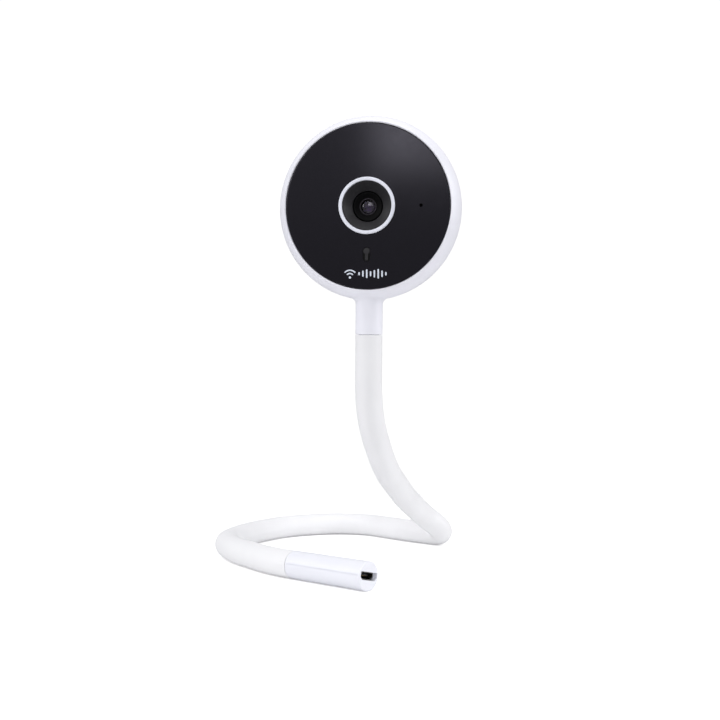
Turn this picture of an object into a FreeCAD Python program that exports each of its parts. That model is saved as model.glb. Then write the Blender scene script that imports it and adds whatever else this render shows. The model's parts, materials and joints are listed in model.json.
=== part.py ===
import FreeCAD, Part
import math
import os
from types import SimpleNamespace

import Sketcher
from FreeCAD import Placement, Rotation, Vector

# Baby monitor camera: a round camera head on a bendable gooseneck that coils on the table and
# ends in a rigid tail with a USB socket. Millimetres, +Z up, the lens looks along -Y, and the
# origin is on the table under the middle of the bounding box.
#
# Three frames are used. The neck lies in the part's own frame. Head pieces are drawn in the head
# frame: +Z out of the lens, +Y up, zero at the edge of the black face panel. Tail pieces are drawn
# in the tail frame: +Z out of the socket, zero at the seam with the sleeve.

DIMENSIONS = {
    # gooseneck
    "tube_diameter": 10.5, "core_diameter": 8.0, "core_bore": 3.6, "cable_diameter": 3.0,
    "hinge_gap": 0.3, "ball_relief": 0.05,
    # head pose
    "head_across": 12.95, "head_forward": -58.9, "head_height": 139.95,
    "head_yaw": -8.2, "head_pitch": 4.65, "head_roll": -1.2, "neck_top_run": 31.5,
    "neck_top_bend": 38.0,
    # head shell
    "shell_diameter": 70.2, "shell_wall": 1.8, "shell_middle": 8.0, "rim_radius": 31.78,
    "rim_height": 0.2, "back_radius": 19.1, "back_depth": 24.0, "split_depth": 15.0,
    "split_groove": 0.3, "ledge_radius": 27.5, "ledge_top": 1.5, "ledge_thick": 1.5,
    "lip_thick": 1.3, "lip_height": 1.6, "lip_gap": 0.3,
    "collar_end": 48.3, "collar_start": 26.0, "collar_fillet": 2.3, "collar_bore": 8.1,
    # face panel
    "panel_diameter": 62.35, "panel_gap": 0.2, "panel_crown": 1.9, "panel_thick": 1.3,
    "panel_rim": 1.2, "panel_rim_width": 2.3, "tape_thick": 0.3,
    "mic_across": 20.3, "mic_hole": 1.3, "window_width": 2.9, "window_length": 5.3,
    "window_down": 18.2, "window_gap": 0.05, "pipe_width": 1.1, "pipe_length": 2.4,
    # lens
    "ring_outer": 21.3, "ring_inner": 18.7, "ring_proud": 0.6, "lens_hole": 11.7,
    "bezel_depth": 2.8, "barrel_diameter": 11.3, "barrel_front": 1.2, "barrel_back": 7.1,
    "retainer_outer": 6.5, "retainer_inner": 5.6, "glass_diameter": 6.2,
    # boards and frame inside
    "frame_radius": 31.4, "frame_thick": 1.2, "frame_hole": 7.0, "frame_front": 3.0,
    "board_front": 13.3, "board_thick": 1.2, "board_radius": 28.6, "post_circle": 24.0,
    "post_radius": 2.6, "screw_radius": 1.0, "screw_head_radius": 2.0, "screw_head_height": 1.5,
    "led_circle": 15.5, "led_board_inner": 12.6, "led_board_outer": 23.5, "led_board_thick": 1.0,
    "sensor_board_front": 10.0, "sensor_board_thick": 1.0, "holder_front": 4.6,
    "carriage_travel": 5.2, "button_radius": 1.5, "button_gap": 0.08, "button_down": 14.6,
    "speaker_radius": 10.0,
    # tail
    "cap_length": 37.3, "cap_wall": 1.15, "cap_end_wall": 1.4, "cap_roll": -12.0,
    "cap_end_round": 0.4, "seam_groove": 0.2, "parting_width": 0.24, "parting_depth": 0.25,
    "slot_width": 8.6, "slot_height": 2.9, "slot_corner": 1.0, "core_in_cap": 8.0,
}

# Route of the tube's centreline below the neck's straight top run, down to the tail: x, y, z
# and the bend radius there.
FLOOR = DIMENSIONS["tube_diameter"] / 2
ROUTE = [
    (20.4, -25.7, 39.3, 50.0),
    (29.9, 1.8, 25.3, 120.0),
    (40.1, 25.2, 14.4, 12.0),
    (52.2, 30.4, FLOOR, 6.6),
    (33.2, 48.8, FLOOR, 60.0),
    (6.5, 80.9, FLOOR, 26.0),
    (-26.9, 65.1, FLOOR, 40.0),
    (-42.8, 36.6, FLOOR, 78.0),
    (-49.2, 7.0, FLOOR, 34.0),
    (-41.7, -14.9, FLOOR, 60.0),
    (-23.9, -42.9, FLOOR, 82.0),
]
TAIL_END = (13.3, -76.2, FLOOR)

doc = FreeCAD.newDocument("baby_camera")
sheet = doc.addObject("Spreadsheet::Sheet", "dims")
for row, (alias, value) in enumerate(DIMENSIONS.items(), start=1):
    sheet.set(f"A{row}", alias)
    sheet.set(f"B{row}", str(value))
    sheet.setAlias(f"B{row}", alias)
doc.recompute()


# ---------------------------------------------------------------- sizes bound to the sheet

class Term:
    """A size: its number now, and the expression over the sheet's cells that gives it."""

    def __init__(self, value, text):
        self.value = value
        self.text = text

    def joined(self, sign, other, value):
        return Term(value, f"({self.text} {sign} {term(other).text})")

    def __add__(self, other):
        return self.joined("+", other, self.value + term(other).value)

    def __sub__(self, other):
        return self.joined("-", other, self.value - term(other).value)

    def __mul__(self, other):
        return self.joined("*", other, self.value * term(other).value)

    def __truediv__(self, other):
        return self.joined("/", other, self.value / term(other).value)

    def __neg__(self):
        return Term(-self.value, f"(0 - {self.text})")


def term(size):
    return size if isinstance(size, Term) else Term(float(size), f"({float(size)})")


def root(size):
    return Term(math.sqrt(size.value), f"sqrt({size.text})")


def dome_arc(radius, rise):
    """The radius of the arc that rises by rise over a circle of the given radius."""
    return (radius * radius + rise * rise) / (rise * 2)


D = SimpleNamespace(**{
    alias: Term(float(sheet.get(alias)), f"dims.{alias}") for alias in DIMENSIONS
})


def bind(thing, prop, size):
    """Set a property from the sheet, and leave its expression on it."""
    thing.setExpression(prop, term(size).text)


# ---------------------------------------------------------------- sketches and features

def new_body(name, place):
    body = doc.addObject("PartDesign::Body", name)
    body.Label = name
    body.Placement = place
    return body


def new_sketch(body, role, offset=0):
    drawn = body.newObject("Sketcher::SketchObject", f"{body.Name}_sketch")
    plane = next(f for f in body.Origin.OriginFeatures if f.Role == role)
    drawn.AttachmentSupport = [(plane, "")]
    drawn.MapMode = "FlatFace"
    bind(drawn, "AttachmentOffset.Base.z", offset)
    return drawn


def pin(drawn, edge, end, x, y):
    """Hold one end or centre of an edge at x, y from the sketch's origin."""
    for kind, size, axis in (("DistanceX", term(x), -2), ("DistanceY", term(y), -1)):
        if size.value == 0:
            drawn.addConstraint(Sketcher.Constraint("PointOnObject", edge, end, axis))
            continue
        held = Sketcher.Constraint(kind, -1, 1, edge, end, size.value)
        index = drawn.addConstraint(held)
        drawn.setExpression(f"Constraints[{index}]", size.text)


def add_circle(drawn, x, y, radius):
    centre = Vector(term(x).value, term(y).value, 0)
    edge = drawn.addGeometry(Part.Circle(centre, Vector(0, 0, 1), term(radius).value))
    pin(drawn, edge, 3, x, y)
    index = drawn.addConstraint(Sketcher.Constraint("Radius", edge, term(radius).value))
    drawn.setExpression(f"Constraints[{index}]", term(radius).text)


def add_arc(drawn, start, end, radius):
    """Add the short arc from start to end, anticlockwise where the radius is positive."""
    if radius.value < 0:
        start, end = end, start
    size = abs(radius.value)
    chord = end - start
    rise = math.sqrt(size ** 2 - (chord.Length / 2) ** 2)
    centre = (start + end) / 2 + Vector(-chord.y, chord.x, 0).normalize() * rise
    angles = [math.atan2(p.y - centre.y, p.x - centre.x) for p in (start, end)]
    edge = drawn.addGeometry(Part.ArcOfCircle(Part.Circle(centre, Vector(0, 0, 1), size), *angles))
    index = drawn.addConstraint(Sketcher.Constraint("Radius", edge, size))
    drawn.setExpression(f"Constraints[{index}]", f"abs({radius.text})")
    return edge


def add_outline(drawn, points):
    """Draw a closed outline; a third number is the radius of the arc from the point before."""
    spots = [Vector(term(p[0]).value, term(p[1]).value, 0) for p in points]
    ends = []
    for i, point in enumerate(points):
        before = spots[i - 1]
        if len(point) == 3:
            radius = term(point[2])
            edge = add_arc(drawn, before, spots[i], radius)
            ends.append((edge, 1, 2) if radius.value > 0 else (edge, 2, 1))
        else:
            edge = drawn.addGeometry(Part.LineSegment(before, spots[i]))
            ends.append((edge, 1, 2))
    for i, (edge, first, last) in enumerate(ends):
        following = ends[(i + 1) % len(ends)]
        joint = Sketcher.Constraint("Coincident", edge, last, following[0], following[1])
        drawn.addConstraint(joint)
        pin(drawn, edge, last, points[i][0], points[i][1])


def add_loops(drawn, loops):
    for loop in loops:
        if isinstance(loop, tuple):
            add_circle(drawn, *loop)
        else:
            add_outline(drawn, loop)


def box_loop(x, y, width, height):
    """A rectangle centred on x, y."""
    x, y, half_w, half_h = term(x), term(y), term(width) / 2, term(height) / 2
    return [(x - half_w, y - half_h), (x + half_w, y - half_h),
            (x + half_w, y + half_h), (x - half_w, y + half_h)]


def pill_loop(x, y, width, height):
    """An upright slot with round ends, centred on x, y."""
    half, rise = term(width) / 2, (term(height) - term(width)) / 2
    x, y = term(x), term(y)
    return [(x + half, y - rise, half), (x + half, y + rise), (x, y + rise + half, half),
            (x - half, y + rise, half), (x - half, y - rise), (x, y - rise - half, half)]


def pad(body, loops, bottom, height, role="XY_Plane"):
    """Add material from the sketch plane at bottom, along the plane's normal."""
    drawn = new_sketch(body, role, bottom)
    add_loops(drawn, loops)
    feature = body.newObject("PartDesign::Pad", f"{body.Name}_pad")
    feature.Profile = drawn
    bind(feature, "Length", height)
    return feature


def pocket(body, loops, top, depth, role="XY_Plane"):
    """Cut from the sketch plane at top, against the plane's normal, and check that it cut."""
    doc.recompute()
    before = body.Shape.Volume
    drawn = new_sketch(body, role, top)
    add_loops(drawn, loops)
    feature = body.newObject("PartDesign::Pocket", f"{body.Name}_pocket")
    feature.Profile = drawn
    bind(feature, "Length", depth)
    doc.recompute()
    if not body.Shape.Volume < before - 1e-4:
        raise RuntimeError(f"a pocket in {body.Label} cut nothing")
    return feature


def turned(name, place, points, angle=360, backwards=False):
    """A body turned about the frame's Z from an outline of radius, height points."""
    body = new_body(name, place)
    drawn = new_sketch(body, "XZ_Plane")
    add_outline(drawn, points)
    feature = body.newObject("PartDesign::Revolution", f"{name}_turned")
    feature.Profile = drawn
    feature.ReferenceAxis = (drawn, ["V_Axis"])
    feature.Angle = angle
    feature.Reversed = backwards
    return body


def plate(name, place, loops, bottom, height):
    body = new_body(name, place)
    pad(body, loops, bottom, height)
    return body


def dress(body, kind, size, chosen):
    """Fillet or chamfer the edges that chosen accepts, given in the body's own frame."""
    doc.recompute()
    base = body.Tip
    edges = [f"Edge{i}" for i, edge in enumerate(base.Shape.Edges, start=1) if chosen(edge)]
    if not edges:
        raise RuntimeError(f"no edge to dress on {body.Label}")
    feature = body.newObject(f"PartDesign::{kind}", f"{body.Name}_{kind.lower()}")
    feature.Base = (base, edges)
    bind(feature, {"Fillet": "Radius", "Chamfer": "Size"}[kind], size)
    return feature


def ring_points(radius, angles):
    """Places round the Z axis, for holes and pieces that repeat."""
    return [(term(radius) * math.cos(math.radians(a)), term(radius) * math.sin(math.radians(a)))
            for a in angles]


def group(name, place, pieces):
    """Several separate solids, such as a set of screws, as one node."""
    joined = doc.addObject("Part::Compound", name)
    joined.Label = name
    joined.Links = pieces
    joined.Placement = place
    return joined


def rod(name, x, y, bottom, height, radius):
    made = doc.addObject("Part::Cylinder", name)
    bind(made, "Radius", radius)
    bind(made, "Height", height)
    for axis, size in zip("xyz", (x, y, bottom)):
        bind(made, f"Placement.Base.{axis}", size)
    return made


def block(name, x, y, bottom, sizes):
    """A box centred on x, y that stands on bottom."""
    made = doc.addObject("Part::Box", name)
    for prop, size in zip(("Length", "Width", "Height"), sizes):
        bind(made, prop, size)
    bind(made, "Placement.Base.x", term(x) - term(sizes[0]) / 2)
    bind(made, "Placement.Base.y", term(y) - term(sizes[1]) / 2)
    bind(made, "Placement.Base.z", bottom)
    return made


def fuse(name, pieces):
    made = doc.addObject("Part::MultiFuse", name)
    made.Shapes = pieces
    return made


def cut(name, base, tool):
    made = doc.addObject("Part::Cut", name)
    made.Base = base
    made.Tool = tool
    return made


# ---------------------------------------------------------------- where the frames are

HEAD = Placement(
    Vector(D.head_across.value, D.head_forward.value, D.head_height.value),
    Rotation(Vector(0, 0, 1), D.head_yaw.value)
    * Rotation(Vector(1, 0, 0), 90 + D.head_pitch.value)
    * Rotation(Vector(0, 0, 1), D.head_roll.value),
)
COLLAR_AXIS = -D.shell_middle
SEAM = HEAD.multVec(Vector(0, -D.collar_end.value, COLLAR_AXIS.value))
NECK_DOWN = HEAD.Rotation.multVec(Vector(0, -1, 0))

last_bend = Vector(*ROUTE[-1][:3])
tail_end = Vector(*TAIL_END)
TAIL_OUT = (tail_end - last_bend).normalize()
TAIL_SEAM = tail_end - TAIL_OUT * D.cap_length.value
TAIL = Placement(
    TAIL_SEAM,
    Rotation(TAIL_OUT.cross(Vector(0, 0, -1)), Vector(0, 0, 1), TAIL_OUT, "ZXY")
    * Rotation(Vector(0, 0, 1), D.cap_roll.value),
)


# ---------------------------------------------------------------- gooseneck

FIRST_BEND = (SEAM + NECK_DOWN * D.neck_top_run.value, D.neck_top_bend.value)
STOPS = [(SEAM, 0.0), FIRST_BEND] + [(Vector(*p[:3]), p[3]) for p in ROUTE] + [(TAIL_SEAM, 0.0)]

# Each hinge stands on a straight run: the run's first stop and how far along it lies.
HINGES = {"top": (0, 0.30), "upper": (1, 0.53), "lower": (3, 0.42), "tail": (9, 0.46)}


def hinge_point(name):
    run, share = HINGES[name]
    start, end = STOPS[run][0], STOPS[run + 1][0]
    return start + (end - start) * share


def hinge_direction(name):
    run = HINGES[name][0]
    return (STOPS[run + 1][0] - STOPS[run][0]).normalize()


def make_path(name, stops, before, after):
    """A wire of straight runs joined by tangent arcs, with straight ends before and after."""
    spots = [stop[0] for stop in stops]
    first, last = (spots[1] - spots[0]).normalize(), (spots[-1] - spots[-2]).normalize()
    here = spots[0] - first * before
    edges = []
    for i in range(1, len(stops) - 1):
        bend = stops[i][1]
        inward = (spots[i] - spots[i - 1]).normalize()
        outward = (spots[i + 1] - spots[i]).normalize()
        turn = inward.getAngle(outward)
        reach = bend * math.tan(turn / 2)
        begin, end = spots[i] - inward * reach, spots[i] + outward * reach
        if (begin - here).dot(inward) < 0.02:
            raise RuntimeError(f"the bend at stop {i} of {name} leaves no straight run before it")
        middle = spots[i] + (outward - inward).normalize() * bend * (1 / math.cos(turn / 2) - 1)
        edges.append(Part.LineSegment(here, begin).toShape())
        edges.append(Part.Arc(begin, middle, end).toShape())
        here = end
    finish = spots[-1] + last * after
    if (finish - here).dot(last) < 0.02:
        raise RuntimeError(f"the last bend of {name} leaves no straight run after it")
    edges.append(Part.LineSegment(here, finish).toShape())
    path = doc.addObject("Part::Feature", name)
    path.Shape = Part.Wire(edges)
    return path


def sweep(name, path, diameter):
    """A solid rod of the given diameter along a path."""
    first = path.Shape.Edges[0]
    direction = (first.Vertexes[-1].Point - first.Vertexes[0].Point).normalize()
    ring = doc.addObject("Part::Circle", f"{name}_ring")
    bind(ring, "Radius", term(diameter) / 2)
    ring.Placement = Placement(first.Vertexes[0].Point, Rotation(Vector(0, 0, 1), direction))
    swept = doc.addObject("Part::Sweep", name)
    swept.Sections = [ring]
    swept.Spine = (path, [f"Edge{i + 1}" for i in range(len(path.Shape.Edges))])
    swept.Solid = True
    doc.recompute()
    wanted = math.pi * (term(diameter).value / 2) ** 2 * path.Shape.Length
    if abs(swept.Shape.Volume / wanted - 1) > 0.01:
        raise RuntimeError(f"{name} has {swept.Shape.Volume:.0f} mm3, not {wanted:.0f}")
    return swept


def ball(name, centre, diameter):
    made = doc.addObject("Part::Sphere", name)
    bind(made, "Radius", term(diameter) / 2)
    made.Placement.Base = centre
    return made


def ball_end_tool(hinge):
    """What rounds a segment's first end into a ball: a drum behind the hinge less the ball."""
    drum = doc.addObject("Part::Cylinder", f"{hinge}_drum")
    bind(drum, "Radius", D.tube_diameter)
    bind(drum, "Height", D.tube_diameter)
    drum.Placement = Placement(hinge_point(hinge), Rotation(Vector(0, 0, 1), -hinge_direction(hinge)))
    round_end = ball(f"{hinge}_ball", hinge_point(hinge), D.tube_diameter - D.ball_relief * 2)
    return cut(f"{hinge}_ball_tool", drum, round_end)


BALL_TOOLS = {hinge: ball_end_tool(hinge) for hinge in HINGES}
SOCKET_TOOLS = {
    hinge: ball(f"{hinge}_socket", hinge_point(hinge), D.tube_diameter + D.hinge_gap * 2)
    for hinge in HINGES
}
CORE_IN_COLLAR = D.collar_end.value - 29.0


def neck_layer(name, stops, outer, inner, start, end, before, after):
    """One layer of one segment: a tube along its path with a ball end and a socket end."""
    past = D.tube_diameter.value
    path = make_path(f"{name}_path", stops, past if start else before, after)
    piece = sweep(f"{name}_rod", path, outer)
    if inner:
        bore_path = make_path(f"{name}_bore_path", stops, past + 1 if start else before + 1, after + 1)
        piece = cut(f"{name}_hollow", piece, sweep(f"{name}_bore", bore_path, inner))
    if start:
        piece = cut(f"{name}_rounded", piece, BALL_TOOLS[start])
    if end:
        piece = cut(f"{name}_socketed", piece, SOCKET_TOOLS[end])
    piece.Label = name
    return piece


def neck_segment(place, start, end):
    """The sleeve, the core and the cable between two hinges, or to an end where there is none."""
    first = HINGES[start][0] + 1 if start else 1
    last = HINGES[end][0] + 1 if end else len(STOPS) - 1
    opening = (hinge_point(start), 0.0) if start else STOPS[0]
    closing = (hinge_point(end), 0.0) if end else STOPS[-1]
    stops = [opening] + STOPS[first:last] + [closing]
    in_cap = 0.0 if end else D.core_in_cap.value
    return [
        neck_layer(f"sleeve_{place}", stops, D.tube_diameter, D.core_diameter, start, end, 0, 0),
        neck_layer(f"core_{place}", stops, D.core_diameter, D.core_bore, start, end,
                   CORE_IN_COLLAR, in_cap),
        neck_layer(f"cable_{place}", stops, D.cable_diameter, None, start, end,
                   CORE_IN_COLLAR, in_cap + 4.0 if in_cap else 0.0),
    ]


SEGMENTS = {
    "top": (None, "top"), "upper": ("top", "upper"), "lower": ("upper", "lower"),
    "base": ("lower", "tail"), "tail": ("tail", None),
}
nodes = []
for segment, (start, end) in SEGMENTS.items():
    nodes += neck_segment(segment, start, end)
doc.recompute()


# ---------------------------------------------------------------- head shell

FRAME_SCREW_ANGLES = (45, 135, 225, 315)
POST_ANGLES = (90, 210, 330)
SHELL_RADIUS = D.shell_diameter / 2
TUBE_RADIUS = D.tube_diameter / 2
RIM_IN = SHELL_RADIUS - D.rim_radius
RIM_UP = D.shell_middle + D.rim_height
FRONT_ARC = dome_arc(RIM_UP, RIM_IN)
BACK_ARC = D.back_depth - D.shell_middle
PANEL_RADIUS = D.panel_diameter / 2
SEAT_RADIUS = PANEL_RADIUS + D.panel_gap


def back_arc_radius(depth, inset):
    """How far from the axis the shell's rear round is, at a depth and an inset from outside."""
    arc = BACK_ARC - inset
    below = depth - D.shell_middle
    return root(arc * arc - below * below) + D.back_radius


def front_arc_radius(depth, inset):
    arc = FRONT_ARC - inset
    above = D.shell_middle - depth
    return root(arc * arc - above * above) + (SHELL_RADIUS - FRONT_ARC)


def make_main_housing():
    """The white shell from the rim back to the split, with the neck's collar filleted into it."""
    ledge_back = D.ledge_top + D.ledge_thick
    inner = SHELL_RADIUS - D.shell_wall
    groove_top = D.split_depth - D.split_groove
    housing = turned("main_housing", HEAD, [
        (SEAT_RADIUS, -D.ledge_top),
        (D.ledge_radius, -D.ledge_top),
        (D.ledge_radius, -ledge_back),
        (front_arc_radius(ledge_back, D.shell_wall), -ledge_back),
        (inner, -D.shell_middle, -(FRONT_ARC - D.shell_wall)),
        (back_arc_radius(D.split_depth, D.shell_wall), -D.split_depth, -(BACK_ARC - D.shell_wall)),
        (back_arc_radius(D.split_depth, D.split_groove), -D.split_depth),
        (back_arc_radius(groove_top, 0), -groove_top),
        (SHELL_RADIUS, -D.shell_middle, BACK_ARC),
        (D.rim_radius, D.rim_height, FRONT_ARC),
        (SEAT_RADIUS, -D.panel_gap, 0.45),
    ])
    pad(housing, [(0, COLLAR_AXIS, TUBE_RADIUS)], D.collar_start,
        D.collar_end - D.collar_start, "XZ_Plane")
    root_y = -SHELL_RADIUS.value

    def at_root(edge):
        spread = edge.BoundBox
        return (spread.YMin > root_y - 1 and spread.YMax < root_y + 1.5
                and spread.XLength > TUBE_RADIUS.value)

    def at_seam(edge):
        return edge.BoundBox.YMax < -D.collar_end.value + 0.01

    dress(housing, "Fillet", D.collar_fillet, at_root)
    dress(housing, "Chamfer", D.seam_groove, at_seam)
    pocket(housing, [(0, COLLAR_AXIS, D.collar_bore / 2)], D.collar_end,
           D.collar_end - D.collar_start + 1, "XZ_Plane")
    holes = [(x, y, 0.75) for x, y in ring_points(FRAME_SCREW_CIRCLE, FRAME_SCREW_ANGLES)]
    pocket(housing, holes, -D.ledge_top - 0.4, D.ledge_thick - 0.4)
    return housing


def make_rear_cover():
    """The domed back: speaker grille, reset hole, and three columns for the long screws."""
    groove_end = D.split_depth + D.split_groove
    lip_outer = back_arc_radius(D.split_depth, D.shell_wall) - D.lip_gap
    lip_inner = lip_outer - D.lip_thick
    floor = D.back_depth - D.shell_wall
    inner_arc = BACK_ARC - D.shell_wall
    lip_run = lip_inner - D.back_radius
    lip_foot = root(inner_arc * inner_arc - lip_run * lip_run) + D.shell_middle
    cover = turned("rear_cover", HEAD, [
        (0, -floor),
        (0, -D.back_depth),
        (D.back_radius, -D.back_depth),
        (back_arc_radius(groove_end, 0), -groove_end, BACK_ARC),
        (back_arc_radius(D.split_depth, D.split_groove), -D.split_depth),
        (lip_outer, -D.split_depth),
        (lip_outer, D.lip_height - D.split_depth),
        (lip_inner, D.lip_height - D.split_depth),
        (lip_inner, -lip_foot),
        (D.back_radius, -floor, -inner_arc),
    ])
    columns = ring_points(D.post_circle, POST_ANGLES)
    column_foot = D.back_depth - 2.4
    board_back = D.board_front + D.board_thick
    pad(cover, [(x, y, D.screw_head_radius + 1.1) for x, y in columns], -column_foot,
        column_foot - board_back)
    speaker_ring = [(0, 0, D.speaker_radius + 1.3), (0, 0, D.speaker_radius + 0.15)]
    pad(cover, speaker_ring, -floor - 0.2, 3.2)
    head_seat = SCREW_HEAD_TOP
    pocket(cover, [(x, y, D.screw_head_radius + 0.2) for x, y in columns], -head_seat,
           D.back_depth - head_seat)
    pocket(cover, [(x, y, D.screw_radius + 0.1) for x, y in columns], -board_back,
           D.back_depth - board_back)
    grille = [(0, 0, GRILLE_HOLE)]
    for turn, count in ((1, 6), (2, 12)):
        angles = [360 / count * i for i in range(count)]
        grille += [(x, y, GRILLE_HOLE) for x, y in ring_points(GRILLE_STEP * turn, angles)]
    pocket(cover, grille, -floor + 0.1, D.shell_wall + 0.2)
    reset_hole = (0, -D.button_down, D.button_radius + D.button_gap)
    pocket(cover, [reset_hole], -floor + 0.1, D.shell_wall + 0.2)
    return cover


# ---------------------------------------------------------------- face and lens

CROWN_ARC = dome_arc(PANEL_RADIUS, D.panel_crown)
CROWN_CENTRE = CROWN_ARC - D.panel_crown
RING_OUTER, RING_INNER = D.ring_outer / 2, D.ring_inner / 2
LENS_HOLE = D.lens_hole / 2
BARREL = D.barrel_diameter / 2
FRAME_SCREW_CIRCLE = term(29.2)
SCREW_HEAD_TOP = D.back_depth - 6.5
GRILLE_HOLE = term(0.7)
GRILLE_STEP = term(3.0)


def crown_at(radius, inset=0):
    """The height of the face panel's outer dome, or of one inset from it, at a radius."""
    arc = CROWN_ARC - inset
    radius = term(radius)
    return root(arc * arc - radius * radius) - CROWN_CENTRE


def make_face_panel():
    hole = RING_OUTER + 0.05
    land = PANEL_RADIUS - D.panel_rim_width
    edge = PANEL_RADIUS - 0.35
    inside_arc = CROWN_ARC - D.panel_thick
    panel = turned("face_panel", HEAD, [
        (hole, crown_at(hole, D.panel_thick)),
        (land, crown_at(land, D.panel_thick), -inside_arc),
        (land, -D.panel_rim),
        (PANEL_RADIUS, -D.panel_rim),
        (PANEL_RADIUS, -0.35),
        (edge, crown_at(edge), 0.4),
        (hole, crown_at(hole), CROWN_ARC),
    ])
    holes = [(D.mic_across, 0, D.mic_hole / 2),
             pill_loop(0, -D.window_down, D.window_width, D.window_length)]
    pocket(panel, holes, D.panel_crown + 1, D.panel_crown + 4)
    return panel


def make_lens_trim_ring():
    """The white ring round the lens, with a foot behind the panel that keeps it in."""
    top = D.panel_crown + D.ring_proud
    foot = RING_OUTER + 1.4
    return turned("lens_trim_ring", HEAD, [
        (RING_INNER, -0.6),
        (foot, -0.6),
        (foot, 0.1),
        (RING_OUTER, 0.1),
        (RING_OUTER, top - 0.45),
        (RING_OUTER - 0.45, top, 0.45),
        (RING_INNER + 0.3, top),
        (RING_INNER, top - 0.3, 0.3),
    ])


def make_lens_bezel():
    """The dark cone inside the trim ring; its foot stands on the inner frame."""
    outer = RING_INNER - 0.05
    top = D.panel_crown - 0.1
    return turned("lens_bezel", HEAD, [
        (D.frame_hole + 0.4, -D.frame_front),
        (outer, -D.frame_front),
        (outer, top),
        (outer - 0.35, top),
        (LENS_HOLE, top - D.bezel_depth),
        (LENS_HOLE, top - D.bezel_depth - 1.0),
        (D.frame_hole + 0.4, top - D.bezel_depth - 1.0),
    ])


def make_lens_barrel():
    """The lens's threaded tube: a stepped bore, wide and dark at the front."""
    front, back = -D.barrel_front, -D.barrel_back
    seat = D.retainer_outer / 2
    return turned("lens_barrel", HEAD, [
        (2.4, back),
        (BARREL, back),
        (BARREL, front - 0.3),
        (BARREL - 0.3, front),
        (BARREL - 0.6, front),
        (seat + 0.25, front - 1.0),
        (seat, front - 1.0),
        (seat, front - 3.2),
        (2.4, front - 3.2),
    ])


def make_lens_retaining_ring():
    seat, hole = D.retainer_outer / 2, D.retainer_inner / 2
    top = -D.barrel_front - 0.8
    return turned("lens_retaining_ring", HEAD, [
        (hole + 0.25, top - 0.9),
        (seat, top - 0.9),
        (seat, top - 0.1),
        (seat - 0.1, top),
        (hole + 0.15, top),
        (hole, top - 0.2),
        (hole, top - 0.5),
    ])


def make_lens_glass():
    """The front element: domed in front, flat behind, under the retaining ring."""
    radius = D.glass_diameter / 2
    edge = -D.barrel_front - 1.75
    neck = D.retainer_inner / 2 - 0.05
    shoulder = edge + 0.35
    dome = term(0.8)
    return turned("lens_glass", HEAD, [
        (0, -D.barrel_front - 3.2),
        (radius, -D.barrel_front - 3.2),
        (radius, edge),
        (neck, edge),
        (neck, shoulder),
        (0, shoulder + dome, dome_arc(neck, dome)),
    ])


def make_sensor_window():
    """The clear pill in the panel, with a slot for the status light's pipe."""
    gap = D.window_gap * 2
    outline = pill_loop(0, -D.window_down, D.window_width - gap, D.window_length - gap)
    slot = box_loop(0, -D.window_down - 1.0, D.pipe_width + 0.1, D.pipe_length + 0.1)
    return plate("sensor_window", HEAD, [outline, slot], -0.4, crown_at(D.window_down) + 0.32)


def make_light_pipe():
    outline = box_loop(0, -D.window_down - 1.0, D.pipe_width, D.pipe_length)
    return plate("light_pipe", HEAD, [outline], -1.5, crown_at(D.window_down) + 1.4)


def make_tape_ring():
    rings = [(0, 0, PANEL_RADIUS - 0.1), (0, 0, D.ledge_radius + 0.2)]
    return plate("tape_ring", HEAD, rings, -D.ledge_top, D.tape_thick)


# ---------------------------------------------------------------- frame and boards

BOARD_BACK = D.board_front + D.board_thick
FRAME_BACK = D.frame_front + D.frame_thick
SENSOR_POSTS = [(10.4, 0), (-10.4, 0)]


def make_inner_frame():
    """The black frame behind the panel; its posts carry both boards and take the long screws."""
    notch = box_loop(0, -D.frame_radius, 13.0, 15.6)
    frame = plate("inner_frame", HEAD, [(0, 0, D.frame_radius), (0, 0, D.frame_hole)],
                  -FRAME_BACK, D.frame_thick)
    pocket(frame, [notch], -D.frame_front + 1, D.frame_thick + 2)
    posts = ring_points(D.post_circle, POST_ANGLES)
    pad(frame, [(x, y, D.post_radius) for x, y in posts], -D.board_front,
        D.board_front - FRAME_BACK + 0.2)
    pad(frame, [(x, y, 1.7) for x, y in SENSOR_POSTS], -D.sensor_board_front,
        D.sensor_board_front - FRAME_BACK + 0.2)
    pocket(frame, [(x, y, D.screw_radius) for x, y in posts], -7.5, D.board_front - 7.5)
    pocket(frame, [(x, y, 0.7) for x, y in SENSOR_POSTS], -6.5, D.sensor_board_front - 6.5)
    screws = ring_points(FRAME_SCREW_CIRCLE, FRAME_SCREW_ANGLES)
    pocket(frame, [(x, y, 0.85) for x, y in screws], -D.frame_front + 1, D.frame_thick + 2)
    return frame


def make_screws(name, spots, head_top, head_radius, head_height, radius, length):
    """A set of pan-head screws whose heads face back and whose shanks point forward."""
    pieces = []
    for i, (x, y) in enumerate(spots):
        head = rod(f"{name}_{i}_head", x, y, -(term(head_top) + head_height), head_height, head_radius)
        recess = rod(f"{name}_{i}_recess", x, y, -(term(head_top) + head_height),
                     term(head_height) / 2, term(head_radius) * 0.4)
        shank = rod(f"{name}_{i}_shank", x, y, -term(head_top), length, radius)
        pieces.append(cut(f"{name}_{i}", fuse(f"{name}_{i}_solid", [head, shank]), recess))
    return group(name, HEAD, pieces)


def make_led_board():
    rings = [(0, 0, D.led_board_outer), (0, 0, D.led_board_inner)]
    return plate("led_board", HEAD, rings, -D.frame_front, D.led_board_thick)


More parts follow.
